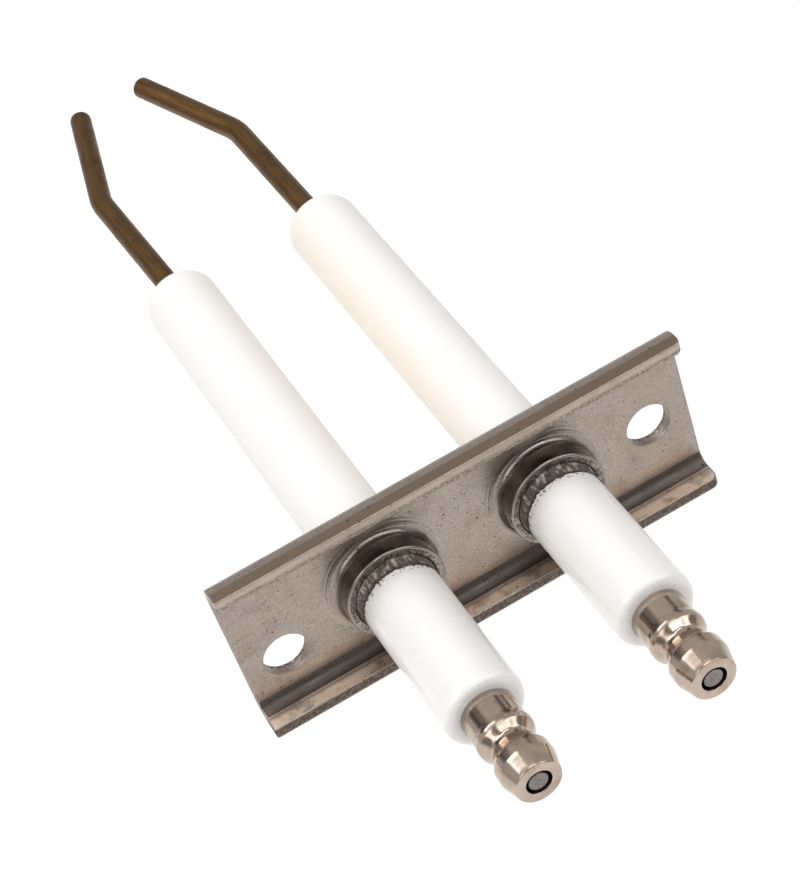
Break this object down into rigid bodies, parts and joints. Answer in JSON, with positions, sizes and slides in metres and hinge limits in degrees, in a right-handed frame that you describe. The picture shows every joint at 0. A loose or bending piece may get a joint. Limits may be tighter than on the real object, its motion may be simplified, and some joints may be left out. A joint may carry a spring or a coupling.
{
  "type": "ignition electrode",
  "caption": "Paired spark electrode for an oil or gas burner: bent heat-resistant rods in ceramic insulators, held side by side in a pressed steel bracket with snap lead terminals.",
  "frame": {"origin": "on the bracket's flat seating face, half way between the two electrodes' axes", "axes": "+X along the bracket towards the right electrode, +Y along the electrodes towards the spark tips and out of the seating face, +Z across the bracket towards its upper flange"},
  "size_m": [0.0584, 0.1458, 0.0224],
  "materials": {
    "bracket": "pressed stainless sheet, dull mill finish with burnished bends and rough sheared edges",
    "insulator": "white alumina, smooth with a soft sheen and a few specks",
    "rod": "heat-resistant alloy wire, brown oxide with drawing lines",
    "terminal": "turned brass, bright nickel plate",
    "packing": "dark mineral packing, rough, with pale grains",
    "cement": "pale fired cement, matte"
  },
  "bodies": {
    "root": {"bracket": "bracket", "insulator_left": "insulator", "insulator_right": "insulator", "rod_left": "rod", "rod_right": "rod", "terminal_left": "terminal", "terminal_right": "terminal", "packing_left": "packing", "packing_right": "packing", "front_cement_left": "cement", "front_cement_right": "cement", "stem_cement_left": "cement", "stem_cement_right": "cement"}
  },
  "joints": []
}
